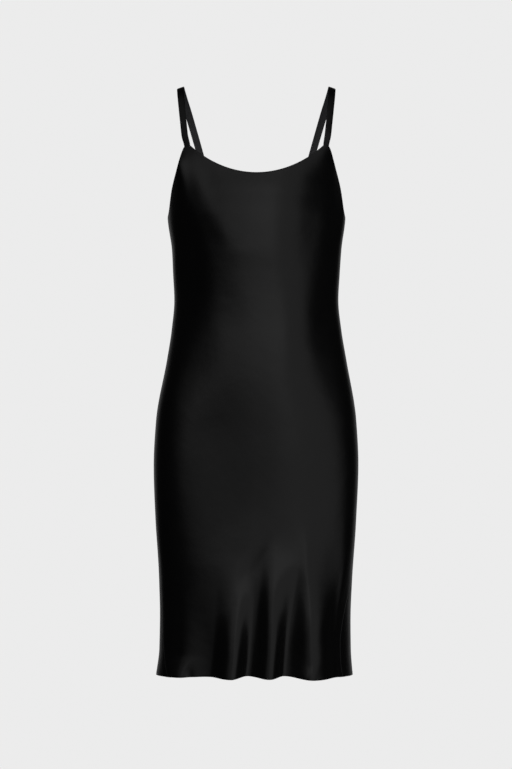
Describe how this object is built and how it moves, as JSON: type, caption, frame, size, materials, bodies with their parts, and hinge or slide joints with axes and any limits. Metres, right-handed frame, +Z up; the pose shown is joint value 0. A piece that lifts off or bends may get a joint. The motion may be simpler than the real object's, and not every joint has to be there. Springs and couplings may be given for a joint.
{
  "type": "slip dress",
  "caption": "Knee-length bias-cut slip dress in black satin, with a shallow scooped neckline, two narrow shoulder straps and a softly fluted hem, shown worn and hollow.",
  "frame": {"origin": "midway between the tops of the two shoulder straps, where the shoulders carry the dress", "axes": "+Z up towards the shoulders, -Y the way the wearer faces, +X to the wearer's left"},
  "size_m": [0.3618, 0.2601, 1.0404],
  "materials": {
    "satin": "satin",
    "strap_satin": "satin"
  },
  "bodies": {
    "root": {"front": "satin", "back": "satin", "strap_left": "strap_satin", "strap_right": "strap_satin"}
  },
  "joints": []
}
